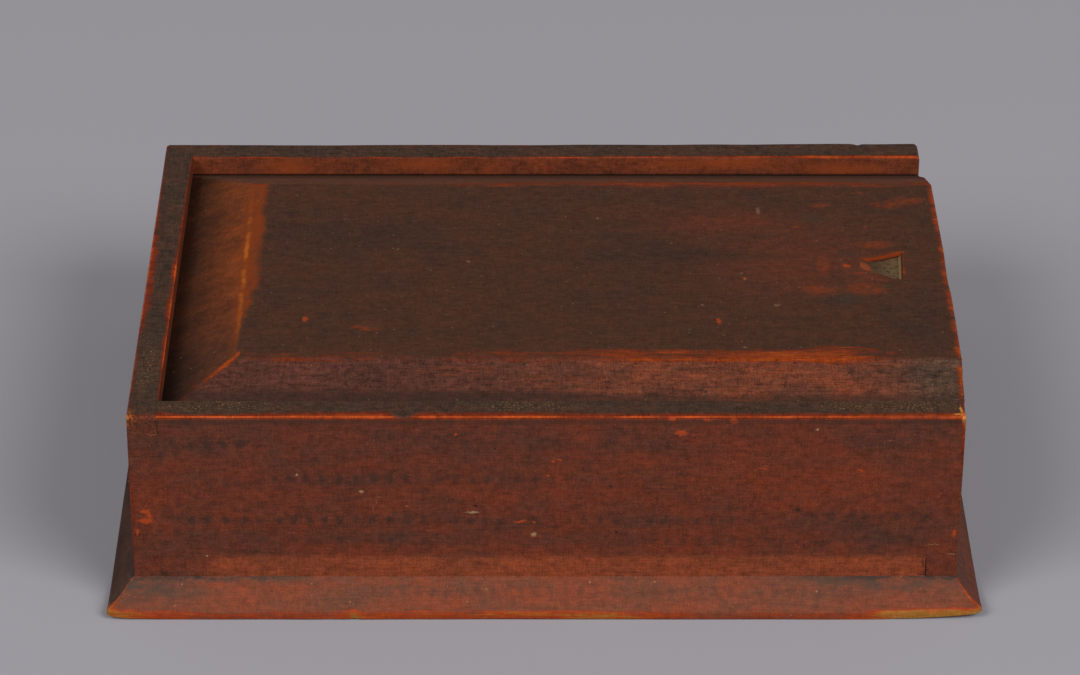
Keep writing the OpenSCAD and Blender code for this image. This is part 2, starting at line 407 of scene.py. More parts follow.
def ticks(vector, pitch, rows):
    """A mask of tick rows, each given by its height, start and end in millimetres and its strength."""
    smudge = noise(vector, (0.9, 0.9, 1.4), 3.0, 0.7)
    drift = noise(vector, (14, 14, 9))
    mask = 0.0
    for height, start, end, strength in rows:
        feeds = {"Vector": vector, "Smudge": smudge, "Drift": drift, "Pitch": pitch, "Height": height,
                 "Start": start, "End": end, "Strength": strength, "Before": mask}
        mask = use(tick_row, feeds)[0]
    kept = step(noise(vector, (7, 7, 7), 1.0), 0.15, 0.45)
    return times(mask, kept)


# One mark at a chosen place: how far a point is from it in half sizes, or from the mark before it where
# that is nearer.
mark_inputs = {"Vector": "Vector", "Centre": "Vector", "Half size": "Vector", "Before": "Float"}
one_mark, given, out = new_group("one_mark", mark_inputs, {"Distance": "Float"})
from_it = vector_calc("SUBTRACT", given["Vector"], given["Centre"])[0]
in_sizes = vector_calc("DIVIDE", from_it, given["Half size"])[0]
length = vector_calc("LENGTH", in_sizes)["Value"]
one_mark.links.new(calc("MINIMUM", length, given["Before"]), out["Distance"])


def marks(vector, spots, ragged=0.5, soft=0.3):
    """A mask of ragged marks, each given by its centre and its half size in millimetres."""
    blot_size, warp = 1.6, 1.8
    blots = put("TexNoise", {"Vector": vector, "Scale": 1 / blot_size, "Detail": 2.0}).outputs["Color"]
    middle = vector_calc("SUBTRACT", blots, (0.5, 0.5, 0.5))[0]
    warped = vector_calc("MULTIPLY_ADD", middle, [warp] * 3, vector)[0]
    distance = 9.0
    for centre, half in spots:
        feeds = {"Vector": warped, "Centre": centre, "Half size": half, "Before": distance}
        distance = use(one_mark, feeds)[0]
    edge = noise(vector, (1.4, 0.5, 0.5), 3.0, 0.7)
    distance = calc("ADD", distance, times(edge, 2 * ragged, -ragged))
    return calc("SUBTRACT", 1.0, step(distance, 1 - soft, 1 + soft))


def new_material(name, gloss=0.12):
    """A material, its node tree and its shader, with its plain gloss set."""
    material = bpy.data.materials.new(name)
    material.use_nodes = True
    shader = material.node_tree.nodes["Principled BSDF"]
    shader.inputs["Specular IOR Level"].default_value = gloss
    return material, material.node_tree, shader


def surface(shader, colour, rough, height, depth):
    """Gives a shader its colour, its roughness and its fine relief, which is depth millimetres deep."""
    tree = shader.id_data
    tree.links.new(colour, shader.inputs["Base Color"])
    tree.links.new(rough, shader.inputs["Roughness"])
    bump = put("Bump", {"Height": height, "Strength": 0.6, "Distance": depth * mm})
    tree.links.new(bump.outputs[0], shader.inputs["Normal"])


def own_coords(tree):
    """A piece's own coordinates in millimetres."""
    own = put("TexCoord", {}, tree).outputs["Object"]
    return put("Mapping", {"Vector": own, "Scale": [1 / mm] * 3}).outputs[0]


def along_grain(own, turn):
    """A piece's own coordinates, turned by some degrees so that the grain runs along x."""
    return put("Mapping", {"Vector": own, "Rotation": (0, 0, math.radians(turn))}).outputs[0]


def mask_of(tree, name):
    """A mask that a piece's points carry."""
    return put("Attribute", {}, tree, attribute_name=name).outputs["Fac"]


def base_paint(name, turn, patina, red):
    """A base strip's paint, with the grain turned to run along the strip."""
    material, tree, shader = new_material(name)
    own = own_coords(tree)
    grain = along_grain(own, turn)
    feeds = {"Grain": grain, "Place": grain, "Wear": mask_of(tree, "wear"), "Cover": 0.5, "Streaks": 2.8,
             "Ragged": 2.4, "Contrast": 3.0, "Patina": patina, "Paint": red,
             "Thin": (148, 51, 16), "Wood": (145, 97, 37)}
    paint = use(old_paint, feeds)
    # Plane chatter, crusted dirt near the corners, soot along the top of the bevel, and dust.
    chatter = ticks(grain, 4.6, ((7.6, -60, 100, 0.28),))
    colour = layer(paint["Color"], (60, 44, 36), chatter)
    dirty_spots = (((-104, -89, 11), (32, 3, 1.5)), ((106, -90, 10), (24, 4, 2.6)),
                   ((-127, -92, 9), (13, 6, 5)))
    dirt = marks(own, dirty_spots, 0.9, 0.8)
    crusted = step(noise(grain, (9, 2.6, 2.6), 4.0, 0.65), 0.36, 0.58)
    dirt = times(dirt, times(crusted, 0.7, 0.2))
    colour = layer(colour, (66, 53, 44), dirt)
    x, _, z = parts_of(own)
    soot = times(paint["Height"], 2.4, z)
    soot = step(soot, base_top - 0.3, base_top + 1)
    soot = times(soot, step(calc("ABSOLUTE", x), 70, 115))
    colour = layer(colour, (50, 38, 32), times(soot, crusted))
    dust = use(specks, {"Vector": own, "Pitch": 2, "Share": 0.1})[0]
    colour = coat(colour, (170, 132, 96), dust, 0.4)
    wood = use(aged_wood, {"Vector": grain, "Pale": (160, 116, 72), "Dark": (94, 64, 38)})
    colour = layer(colour, wood["Color"], mask_of(tree, "unpainted"))
    surface(shader, colour, paint["Roughness"], paint["Height"], 0.25)
    return material


# The left strip's paint is darker than the others': painted shade on that side of the box.
base_finishes = {
    "front": base_paint("base_paint_front", 0, (90, 57, 42), (126, 55, 28)),
    "back": base_paint("base_paint_back", 0, (80, 52, 40), (112, 50, 30)),
    "left": base_paint("base_paint_left_shaded", 90, (44, 32, 25), (74, 42, 28)),
    "right": base_paint("base_paint_right", 90, (80, 51, 40), (102, 50, 36))}

base_arrises = ((-base_x, -case_x, case_x, base_x), (-base_y, -case_y, case_y, base_y), (0, base_edge))
for side, finish in base_finishes.items():
    node = "base_strip_" + side
    strip = cut_board(node, "worn_" + node, base_arrises, 4.5)
    worn_points = points_of(strip)
    strip_masks = wear_base(worn_points)
    finish_board(strip, worn_points, strip_masks, [finish])
    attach(strip, "case")
    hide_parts(node)


# The brads: square iron nails that a smith cut and headed, driven up through the base strips and through
# the bottom. Their heads are sunk in the underside, black with rust that shows orange in patches.

rusted_iron, tree, shader = new_material("rusted_iron", 0.4)
own = own_coords(tree)
rust = noise(own, (1.2, 1.2, 1.2), 4.0, 0.7)
colour = layer((52, 44, 40), (112, 62, 34), step(rust, 0.45, 0.62))
surface(shader, colour, times(rust, 0.5, 0.55), rust, 0.2)
for node in ("base_brads", "bottom_brads"):
    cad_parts[node].data.materials.clear()
    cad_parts[node].data.materials.append(rusted_iron)


# The bottom: one thin softwood board between the end boards and under the long ones, nailed from below.
# Bare and dulled by use inside; its long edges show outside as a lighter painted band along the foot of
# the case.

bottom_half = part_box("bottom_board")[1].y / mm
hair = 0.01
band_patina, band_red = (104, 54, 36), (134, 62, 34)
# Grime in the joints at the ends of the band.
joint_grime = (((117, -89, 15.5), (0.7, 3, 1.6)), ((117.6, -89, 12.5), (0.9, 3, 1.3)),
               ((-117.4, -89, 12), (0.9, 3, 1.4)))
bottom_finish, tree, shader = new_material("bottom_wood_and_band")
own = own_coords(tree)
wood = use(aged_wood, {"Vector": own, "Pale": (168, 124, 78), "Dark": (104, 70, 40)})
x, y, _ = parts_of(own)
lit = step(x, -114, -94)
feeds = {"Grain": own, "Place": own, "Wear": 0.0, "Cover": 0.45, "Streaks": 2.2, "Ragged": 0.3,
         "Contrast": 4.6, "Patina": layer((76, 46, 36), band_patina, lit),
         "Paint": layer((106, 48, 28), band_red, lit), "Thin": band_red, "Wood": band_red}
band = use(old_paint, feeds)
outside = calc("GREATER_THAN", calc("ABSOLUTE", y), bottom_half - 0.5)
crack = marks(own, joint_grime, 1.2, 0.6)
painted = coat(band["Color"], (40, 30, 24), crack, 0.55)
colour = layer(wood["Color"], painted, outside)
surface(shader, colour, band["Roughness"], band["Height"], 0.2)


def swell(at, face, seed):
    """Moves points on a long face of the case, whose boards have moved in and out by a hair."""
    broad_bend = wander(at[:, 0], 43, seed)
    narrow_bend = wander(at[:, 2] + 0.2 * at[:, 0], 17, seed + 1)
    return 0.12 * (broad_bend + narrow_bend) * face


bottom_arrises = ((), (-bottom_half, bottom_half), ())
bottom = cut_board("bottom_board", "worn_bottom_board", bottom_arrises, 6)
worn_points = points_of(bottom)
edge_y = worn_points[:, 1].copy()
# The long edges come out flush with the faces of the case, and swell with them.
worn_points[:, 1] += np.sign(edge_y) * (case_y - bottom_half) * (abs(edge_y) > bottom_half - hair)
worn_points[:, 1] += swell(worn_points, ramp(-edge_y, bottom_half - 9, bottom_half), 31)
worn_points[:, 1] -= swell(worn_points, ramp(edge_y, bottom_half - 9, bottom_half), 33)
finish_board(bottom, worn_points, {}, [bottom_finish])
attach(bottom, "case")
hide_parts("bottom_board")


# The case: a closed end board, a low end board and two long boards of thin softwood, dovetailed together,
# with the lid's groove cut inside. Red paint outside under a dark patina, gone to orange on every arris.

left_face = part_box("left_end_board")[0].x / mm
left_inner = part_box("left_end_board")[1].x / mm
front_face, front_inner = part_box("front_board")[0].y / mm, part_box("front_board")[1].y / mm
back_inner, back_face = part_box("back_board")[0].y / mm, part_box("back_board")[1].y / mm
right_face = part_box("front_board")[1].x / mm
right_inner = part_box("right_end_board")[0].x / mm
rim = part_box("front_board")[1].z / mm
case_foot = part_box("left_end_board")[0].z / mm
low_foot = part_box("front_board")[0].z / mm
groove_top = 61.9
groove_reach = 5.1
pin_low = 62.2
chip_place = 106.6
left_shrink = 0.3


def wear_case(at):
    """Warps the case boards a little and rounds their arrises; neighbours get the same where they meet."""
    wear = np.zeros(len(at))
    x, y, z = at.T.copy()
    # The closed end has shrunk a little, the front stands out at its right end, the long faces swell, and
    # the back's rim is twisted and chipped.
    in_left = ramp(x, left_inner, left_face)
    in_front = ramp(y, front_inner, front_face)
    in_back = ramp(y, back_inner, back_face)
    above_groove = ramp(z, groove_top, rim)
    at[:, 0] += left_shrink * in_left
    at[:, 0] += 0.4 * ramp(x, 100, right_face) * ramp(y, front_inner + 20, front_inner)
    at[:, 1] += swell(np.stack([x, y, z], axis=1), in_front, 31)
    at[:, 1] -= swell(np.stack([x, y, z], axis=1), in_back, 33)
    twist = -0.3 + 0.65 * ramp(x, -30, 100)
    at[:, 2] += twist * above_groove * (y > 0) * ramp(y, back_inner - 12, back_inner)
    chip = hump(x, chip_place, 1.1) * ramp(z, rim - 1.5, rim)
    at[:, 2] -= 0.5 * chip * ramp(y, back_face - 3, back_face)

    top = (2, rim, -1)
    left = (0, left_face + left_shrink, 1)
    right = (0, right_face, -1)
    front = (1, front_face, 1)
    back = (1, back_face, -1)
    ends = (left_face - 1, right_face + 1)
    sides = (front_face - 1, back_face + 1)
    heights = (case_foot, rim + 1)
    inner_ends = (left_inner, ends[1])
    arrises = ((0, ends, front, top, 1.0, 1.15),
               (0, ends, back, top, 0.9, 0.45),
               (1, sides, left, top, 1.0, 0.8),
               (0, inner_ends, (1, front_inner, -1), top, 0.5, 0.3),
               (0, inner_ends, (1, back_inner, 1), top, 0.75, 0.9),
               (1, (front_inner, back_inner), (0, left_inner, -1), top, 0.75, 0.8),
               (1, (sides[0], front_inner), right, top, 0.9, 0.7),
               (1, (back_inner - 1, sides[1]), right, top, 1.8, 0.4))
    for seed, arris in enumerate(arrises, 41):
        wear_arris(at, wear, *arris, seed)
    for face, size, seed in ((front, 0.9, 49), (back, 1.5, 51)):
        wear_arris(at, wear, 2, heights, left, face, size, 0.5, seed)
        wear_arris(at, wear, 2, heights, right, face, size, 0.62, seed + 1)
    for face, seed in (((1, front_inner, -1), 53), ((1, back_inner, 1), 54)):
        wear_arris(at, wear, 2, (groove_top, rim + 1), right, face, 0.7, 0.6, seed)

    # The front's top corners are rubbed most, and its right arris hardly at all below the groove.
    for corner, boost in ((left_face, 0.6), (right_face, 0.75)):
        near = np.sqrt((x - corner) ** 2 + (y - front_face) ** 2 + (z - rim) ** 2)
        wear += boost * hump(near, 0, 2.6)
    low_right = (x > right_face - 3) * (y < front_inner) * (1 - ramp(z, 44, 60))
    wear *= 1 - 0.75 * low_right

    # Hands have rubbed both edges of the closed end's rim, and the front's rim just behind its arris, but
    # less at the left corner.
    on_top = z > rim - 1
    rubbed = hump(y, -8, 36) * ramp(x, left_face + 4.8, left_face + 2.2) * on_top
    wear += 0.5 * rubbed * (1 + 0.25 * wander(y, 12, 55))
    rubbed = hump(y, -12, 36) * ramp(x, left_inner - 3.2, left_inner - 1.4) * on_top
    wear += 0.5 * rubbed * (x < left_inner + 1) * (0.8 + 0.6 * wander(y, 9, 56))
    reach = 5.0 - 1.5 * ramp(x, -10, 40) - 0.8 * ramp(x, -50, -100)
    glow = ramp(y, front_face + reach, front_face + 1) * (y < front_inner) * on_top
    wear = np.maximum(wear, 0.68 * glow * (1 + 0.2 * wander(x, 26, 57)))
    wear *= 1 - 0.4 * (x < left_inner) * (y < front_face + 4) * on_top

    # Patina is left just below the front's top arris and on one short stretch of it. The left arris is
    # rubbed half way up.
    below = (y < front_face + 0.5) * (z > rim - 6) * (abs(x) < 124)
    wear *= 1 - 0.8 * below * (1 - ramp(z, rim - 1.8, rim - 0.9))
    rubbed = hump(z, 38, 11) * ramp(x, left_face + 2.6, left_face + 0.4)
    wear += 0.4 * rubbed * (y < front_inner)
    wear -= 1.1 * hump(x, -43, 3) * hump(y, front_face, 3) * (z > rim - 0.6)
    return wear


def front_spots(spots, depth=3):
    """Marks on the front of the case, each given by its x and z and its half sizes along them."""
    return [((x, front_face, z), (half_x, depth, half_z)) for x, z, half_x, half_z in spots]


# Rows of plane chatter on the front: height, start, end and strength.
front_ticks = ((58.8, -122, -86, 0.5), (54.9, -126, -108, 0.48), (46.3, -88, -36, 0.58),
               (43.8, -112, -86, 0.36), (45.8, -38, 12, 0.42), (31.5, -116, -32, 0.64),
               (31.2, -33, 66, 0.4), (27.4, -122, -106, 0.45), (23.8, -98, -20, 0.2),
               (24.2, 30, 122, 0.3), (32.6, 80, 122, 0.42), (39, 66, 120, 0.15), (58, 56, 118, 0.15))
# Broad zones of the front where the red shows more, and where the patina is thicker.
front_warm = front_spots(((-92, 39, 34, 4), (84, 48, 32, 9), (20, 40, 36, 3), (-20, 21, 60, 2)), 9)
front_dull = front_spots(((-100, 61, 30, 5), (-60, 25, 56, 3), (114, 60, 18, 7), (105, 28, 22, 5),
                          (-10, 60, 40, 4), (120, 57, 9, 9)), 9)
# Marks on the front: knocks down to orange paint, cream spots, scratches, dark holes and smudges.
front_reds = front_spots(((-122.2, 34.6, 1.7, 0.7), (-121.2, 33.1, 0.8, 1.0), (-122.1, 31.3, 2.2, 0.9)), 4)
front_reds += front_spots(((-125, 27, 0.5, 1.1), (-27.3, 62, 0.4, 0.5), (4.6, 53, 0.6, 0.3),
                           (2.6, 52.4, 0.5, 0.3), (-7.6, 30.9, 1.6, 0.4), (-3.6, 30.7, 0.6, 0.35),
                           (41, 62.7, 2.0, 0.9), (38.6, 67.4, 1.0, 0.7), (49.2, 67.2, 1.2, 0.7),
                           (57.4, 66.9, 1.3, 0.9), (66.4, 50, 1.4, 0.25), (96, 49.3, 1, 0.3),
                           (125.7, 26.7, 0.8, 1), (1, 47.6, 0.7, 0.3)))
front_creams = front_spots(((-3.3, 26.2, 0.9, 0.8), (-75.5, 47.7, 0.35, 0.35), (-22, 34.4, 1.8, 0.35),
                            (-56, 41.8, 0.8, 0.4), (82.3, 64, 0.4, 0.3), (119.5, 22.5, 1.6, 0.1),
                            (125.6, 19, 1.2, 0.1), (-104, 18.5, 0.3, 0.3)))
front_scratches = front_spots(((-52.6, 36, 0.12, 1.2), (-51.6, 38.2, 0.12, 1.2),
                               (-50.4, 39.8, 0.9, 0.12), (-42, 36.6, 0.3, 0.3), (67.4, 51, 1.2, 0.12),
                               (-66, 32.2, 0.6, 0.2), (112, 62, 0.9, 0.12), (105, 60, 1.2, 0.1),
                               (-123.6, 62.8, 1.6, 0.12), (-119.4, 62.2, 1.4, 0.12)))
front_darks = front_spots(((-117.4, 66, 0.3, 1.6), (-117.5, 63.6, 0.3, 1.2), (-21.4, 36.5, 0.45, 0.45),
                           (-15.2, 57, 0.4, 0.4), (20.2, 43.4, 0.6, 0.5), (-16.1, 64.5, 0.4, 0.4),
                           (22.2, 26.7, 0.5, 0.5), (77.5, 35, 0.7, 0.25)))
front_smudges = front_spots(((77.5, 35, 1.6, 0.8), (81, 33.2, 2, 1), (-9, 28.8, 1.5, 0.7),
                             (94.5, 33, 0.9, 1.8), (116.6, 31.4, 1, 1.4), (3.4, 29, 0.7, 1)))
# Places on the rim that are flecked with ochre, corners that are rubbed to pale wood or to orange, and warm
# patches inside.
rim_gold = (((-122.3, -61, 68.5), (2.8, 13, 2)), ((-6, -82.5, 68.5), (14, 3, 2)),
            ((92, -83, 68.5), (9, 3, 2)), ((112, -83, 68.5), (14, 4, 2)), ((-100, -83, 68.5), (16, 3, 2)))
pale_corners = (((127, -88.8, 67.4), (0.7, 0.8, 1.4)), ((-126.6, -88.6, 67.8), (0.9, 1, 1)),
                ((125.4, -87.6, 68.4), (1.6, 0.4, 0.5)), ((126.2, -85, 68.4), (0.4, 2.2, 0.5)))
gold_corner = (((-125.9, -87.6, 68), (1.8, 3, 2)), ((-126.2, -88.8, 66.6), (1.2, 2, 2.2)))
inner_warm = (((-85, 79.5, 65), (7, 3, 3)), ((-40, 79.5, 66), (10, 3, 2)), ((60, 79.5, 66), (16, 3, 2)),
              ((100, 79.5, 64), (12, 3, 2)))


def case_paint(name, turn):
    """The case's paint: dusty and near black on the rim, red-brown below it, and lighter along the foot."""
    material, tree, shader = new_material(name)
    own = own_coords(tree)
    grain = along_grain(own, turn)
    x, y, z = parts_of(own)
    # The rim, the foot and the inside above the groove have colours of their own.
    on_rim = step(z, rim - 0.9, rim - 0.25)
    foot = step(z, low_foot + 2.2, low_foot - 0.4)
    foot = times(foot, step(x, -112, -92))
    foot = times(foot, step(x, right_inner, right_inner - 3))
    inside = calc("LESS_THAN", calc("ABSOLUTE", y), back_inner + 0.15)
    inside = times(inside, calc("GREATER_THAN", x, left_inner - 0.15))
    inside = times(inside, calc("GREATER_THAN", z, groove_top - 0.1))
    patina = layer(layer((70, 44, 35), band_patina, foot), (74, 40, 27), inside)
    patina = layer(patina, (49, 41, 33), on_rim)
    red = layer(layer((112, 47, 25), band_red, foot), (128, 59, 32), inside)
    red = layer(red, (76, 45, 31), on_rim)
    # The patina thins a little from left to right, is broken by warm and dull zones, and lies thick on the
    # closed end, where it is partly painted shade, as on the left base strip.
    cover = times(x, -0.00035, 0.54)
    warm = marks(own, front_warm, 0.6, 0.9)
    dull = marks(own, front_dull, 0.6, 0.9)
    cover = times(warm, -0.2, times(dull, 0.2, cover))
    at_left = step(x, left_face + 0.7, left_face + 0.35)
    cover = times(at_left, 0.3, cover)
    feeds = {"Grain": grain, "Place": own, "Wear": mask_of(tree, "wear"), "Cover": cover, "Streaks": 2.15,
             "Ragged": 0.9, "Contrast": times(on_rim, 1.6, 4.1), "Patina": patina,
             "Paint": red, "Thin": (102, 34, 11), "Wood": (172, 70, 20)}
    paint = use(old_paint, feeds)
    # Plane chatter and single marks, a dark line below the front's top arris, and grime in the joints.
    on_front = calc("LESS_THAN", y, front_inner)
    chatter = times(ticks(own, 5, front_ticks), on_front)
    colour = layer(paint["Color"], (44, 36, 32), chatter)
    spotted = ((front_reds, (158, 62, 26), 0.85), (front_creams, (158, 132, 92), 0.7),
               (front_scratches, (152, 92, 58), 0.5), (front_darks, (30, 24, 22), 0.75),
               (pale_corners, (196, 132, 60), 0.75))
    for spots, tone, share in spotted:
        colour = coat(colour, tone, marks(own, spots, 0.9, 0.4), share)
    shaded = times(on_front, step(z, rim - 3.4, rim - 2.2))
    shaded = times(shaded, step(z, rim - 0.9, rim - 1.5))
    colour = coat(colour, (56, 38, 30), shaded, 0.5)
    crack = marks(own, joint_grime, 1.2, 0.6)
    colour = coat(colour, (40, 30, 24), crack, 0.55)
    # End grain shows on the half-pin at the upper left corner of the front.
    pin = calc("LESS_THAN", y, front_face + 0.5)
    pin = times(calc("LESS_THAN", x, left_inner), pin)
    pin = times(pin, step(z, pin_low, pin_low + 0.5))
    fleck = noise(own, (0.7, 0.7, 0.7), 3.0, 0.7)
    pin_colour = layer((48, 30, 22), (130, 62, 28), step(fleck, 0.4, 0.7))
    colour = coat(colour, pin_colour, pin, 0.5)
    # Above the groove the inside is warm in patches, and painted dark along its lower edge as the shade
    # over the groove.
    patchy = times(marks(own, inner_warm, 0.8, 0.8), inside)
    colour = coat(colour, (142, 64, 26), patchy, 0.5)
    groove_shade = times(inside, step(z, groove_top + 0.7, groove_top - 0.1))
    colour = coat(colour, (30, 18, 13), groove_shade, 0.7)
    # Smudges on the front, ochre flecks on the rim and the left corner, and dust, thickest on the rim.
    smudged = marks(own, front_smudges, 0.6, 0.6)
    colour = coat(colour, (38, 30, 26), smudged, 0.4)
    dust = use(specks, {"Vector": own, "Pitch": 1.0, "Share": 0.3})[0]
    gold = times(marks(own, rim_gold, 0.7, 0.7), on_rim)
    flecked = times(gold, step(fleck, 0.54, 0.68))
    colour = coat(colour, (132, 104, 60), flecked, 0.75)
    knocked = times(marks(own, gold_corner, 0.7, 0.7), step(fleck, 0.5, 0.62))
    colour = coat(colour, (178, 98, 34), knocked, 0.7)
    dusty = times(gold, 0.8, times(on_rim, 0.14, 0.16))
    colour = layer(colour, (164, 130, 80), times(dust, dusty))
    surface(shader, colour, paint["Roughness"], paint["Height"], 0.22)
    return material


def bare_wood(name, turn, pale, dark):
    """Wood that was never painted, such as the inside of the case, with its grain turned by degrees."""
    material, tree, shader = new_material(name)
    grain = along_grain(own_coords(tree), turn)
    wood = use(aged_wood, {"Vector": grain, "Pale": pale, "Dark": dark})
    surface(shader, wood["Color"], wood["Roughness"], wood["Height"], 0.2)
    return material


inner_tones = ((164, 120, 76), (98, 66, 40))
long_finishes = (case_paint("case_paint_along", 0), bare_wood("inner_wood_along", 0, *inner_tones))
end_finishes = (case_paint("case_paint_across", 90), bare_wood("inner_wood_across", 90, *inner_tones))
case_arrises = ((left_face, left_inner, chip_place, right_face),
                (front_face, front_inner, back_inner, back_face), (groove_top, rim))
boards = {"left_end_board": end_finishes, "right_end_board": end_finishes,
          "front_board": long_finishes, "back_board": long_finishes}
for node, finishes in boards.items():
    board = cut_board(node, "worn_" + node, case_arrises, 5)
    worn_points = points_of(board)
    rest = worn_points.copy()
    board_wear = wear_case(worn_points)
    finish_board(board, worn_points, {"wear": board_wear}, finishes)
    for face in board.data.polygons:
        middle = np.mean(rest[list(face.vertices)], axis=0)
        across = left_inner - hair < middle[0] < right_inner + hair
        deep = front_inner - groove_reach < middle[1] < back_inner + groove_reach
        face.material_index = int(across and deep and middle[2] < groove_top + hair)
    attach(board, "case")
    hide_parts(node)


# The lid: one wide softwood board, planed down to a tongue on three sides so that its middle stands up as a
# raised field. It draws out to the right by a thumb notch. Dark patina over red paint, worn through along
# the field's arrises.

lid_low, lid_high = [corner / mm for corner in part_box("lid_panel")]
field = lid_high.z
lid_end = lid_high.x
lid_left = lid_low.x
tongue_y = lid_high.y
tongue_top = lid_low.z + 1.9
bevel_left = -95
bevel_side = 57
slope = (field - tongue_top) / (bevel_left - lid_left)
notch_wall = lid_end - 13.2
notch_tip = notch_wall - 14
notch_half = 9
notch_nose = 5.25
notch_back = 1.1
notch_skew = 0.055
nose_half = 77.5


def wear_lid(at):
    """Softens the field's arrises, bows the square end, rounds its corners and sets the notch askew."""
    wear = np.zeros(len(at))
    x, y, z = at.T.copy()
    # The field and the three bevels, as planes; the board's top is the lowest of them at each point.
    planes = np.stack([np.full(len(at), field), tongue_top + slope * (x - lid_left),
                       tongue_top + slope * (y + tongue_y), tongue_top + slope * (tongue_y - y)])
    roof = planes.min(axis=0)
    top = abs(z - roof) < 0.02
    soft = 0.22
    eased = -soft * np.log(np.exp(-(planes - field) / soft).sum(axis=0)) + field
    at[top, 2] = eased[top]
    at[:, 2] -= top * 0.06 * (1 + wander(x, 37, 61) * wander(y, 29, 62))
    # The square end is bowed, its top arris is round, and the notch is turned and moved a little.
    bow = 0.3 * (1 - (y / nose_half) ** 2) - 0.25 * ramp(-y, 25, nose_half)
    at[:, 0] += bow * ramp(x, 118, lid_end)
    square_end = lid_end + bow
    to_end, to_top = rounded(square_end - at[:, 0], roof - at[:, 2], 1.0)
    outer = x > lid_end - 3
    at[outer, 0] = (square_end - to_end)[outer]
    at[outer, 2] = (roof - to_top)[outer]
    round_notch = np.hypot(x - (notch_tip + notch_wall) / 2, y)
    moved = 1 - ramp(round_notch, 13, 26)
    at[:, 1] += notch_back * moved
    at[:, 0] += (notch_skew * y - 0.5) * moved
    at[:, 1] += (1.2 - 0.4 * y) * moved * ramp(x, notch_wall - 3, notch_tip)
    heights = (lid_low.z - 1, field + 1)
    wear_arris(at, wear, 2, heights, (0, lid_end, -1), (1, nose_half, -1), 2.6, 0.3, 63)
    wear_arris(at, wear, 2, heights, (0, lid_end, -1), (1, -nose_half, 1), 1.0, 0.5, 64)
    wear[outer] = np.maximum(wear, 0.8 * np.clip(1 - np.hypot(to_end, to_top) / 2.8, 0, 1))[outer]

    # The front arris is rubbed through to the right of the middle, in streaks that fade into the field.
    front_in = y + bevel_side + 0.8
    width = 9.0 + 2.2 * wander(x, 15, 68)
    fade = np.where(front_in > 0, 1 - ramp(front_in, 3.6, width), hump(front_in, 0, 1.5))
    short_of_end = 1 - ramp(x, 92, 112)
    strength = 0.28 + 0.44 * ramp(x, 0, 60) * short_of_end
    on_field = top * ramp(x, bevel_left - 1, bevel_left + 1)
    wear = np.maximum(wear, on_field * fade * (strength + 0.14 * wander(x, 8, 66)))
    crest = hump(front_in, 0, 1.0) * ramp(x, -40, 30) * short_of_end
    wear = np.maximum(wear, on_field * crest * (0.84 + 0.16 * wander(x, 11, 70)))
    back_in = hump(y, bevel_side + 0.8, np.where(y > bevel_side, 4.0, 3.4))
    strength = 0.22 + 0.48 * ramp(x, -60, 30) * (1 - 0.5 * ramp(x, 96, 112))
    wear = np.maximum(wear, on_field * back_in * strength * (1 + 0.3 * wander(x, 21, 67)))

    # The mitre between the left and front bevels is rubbed most near the field.
    mitre = (abs(y) - bevel_side - (bevel_left - x) + 2) / math.sqrt(2)
    mitre += 0.6 * wander(x, 4, 69)
    near_field = 0.3 + 0.7 * ramp(x, left_inner + 6, bevel_left - 6)
    on_mitre = top * hump(mitre, 0, 1.5) * (x < bevel_left + 1) * (y < 0)
    wear = np.maximum(wear, near_field * on_mitre)

    # Thumbs have rubbed the field along the back edge of the notch and above its wall.
    notch_slope = (notch_half - notch_nose) / (notch_wall - notch_tip)
    past_edge = y - notch_nose - notch_slope * (x - notch_tip)
    beside = top * ramp(x, notch_tip - 2, notch_tip) * (1 - ramp(x, notch_wall, notch_wall + 1))
    wear = np.maximum(wear, 0.75 * beside * hump(past_edge, 0, 0.9) * (past_edge > -0.2))
    beside = top * (abs(y) < notch_half) * (x > notch_wall - 0.2)
    wear = np.maximum(wear, 0.55 * beside * hump(x, notch_wall, 0.9))

    # Masks of the three bevels, which have colours of their own.
    on_left = ramp(planes[1] - np.minimum(planes[2], planes[3]), 0.3, -0.3) * (planes[1] < field)
    on_front = ramp(-y, bevel_side - 1, bevel_side + 1) * (1 - on_left)
    on_back = ramp(y, bevel_side - 1, bevel_side + 1) * (1 - on_left)
    bevels = {"left_bevel": on_left * top, "front_bevel": on_front * top, "back_bevel": on_back * top}
    return {"wear": wear, **bevels}


def field_spots(spots):
    """Marks on the raised field, each given by its x and y and its half sizes along them."""
    return [((x, y, field), (half_x, half_y, 3)) for x, y, half_x, half_y in spots]


# Marks on the lid: knocks down to red paint, most of them round the thumb notch, strokes of red on the
# front bevel, and dark, warm and dusty places.
lid_reds = field_spots(((-58, -38.4, 2.6, 1), (-54.5, -39.6, 2.6, 1.2), (113, 42, 5, 2.2),
                        (120, 45, 5, 2.4), (91, 41.9, 3, 1.2), (104, 50.3, 1.8, 0.7),
                        (82, 27, 1.6, 0.6), (104.8, 27, 0.6, 1.1), (107, 15, 5.5, 2.4),
                        (102.5, -14, 5.5, 3.4), (88, -14.5, 5, 3.4), (97, 1, 1.4, 1),
                        (89.5, 1.5, 1.8, 5), (101, -3.6, 1.6, 0.8), (104, -6.2, 1.8, 0.8),
                        (107, -8.2, 2, 0.8), (68.5, 37, 0.5, 0.6)))
lid_chips = field_spots(((-74.8, -33.3, 0.9, 1.4), (54.7, -34.5, 0.9, 1.6), (64, -7, 0.4, 0.6),
                         (97, 1, 1.2, 0.9)))
lid_strokes = (((91, -66, 66), (5, 5, 4)), ((72, -61.5, 68), (9, 2, 3)), ((40, -63, 68), (12, 2.5, 3)),
               ((8, -66, 66), (11, 2.5, 4)), ((104, -60, 69), (6, 1.4, 3)), ((60, -70, 65), (7, 2, 3)),
               ((-30, -62, 68), (14, 1.6, 3)))
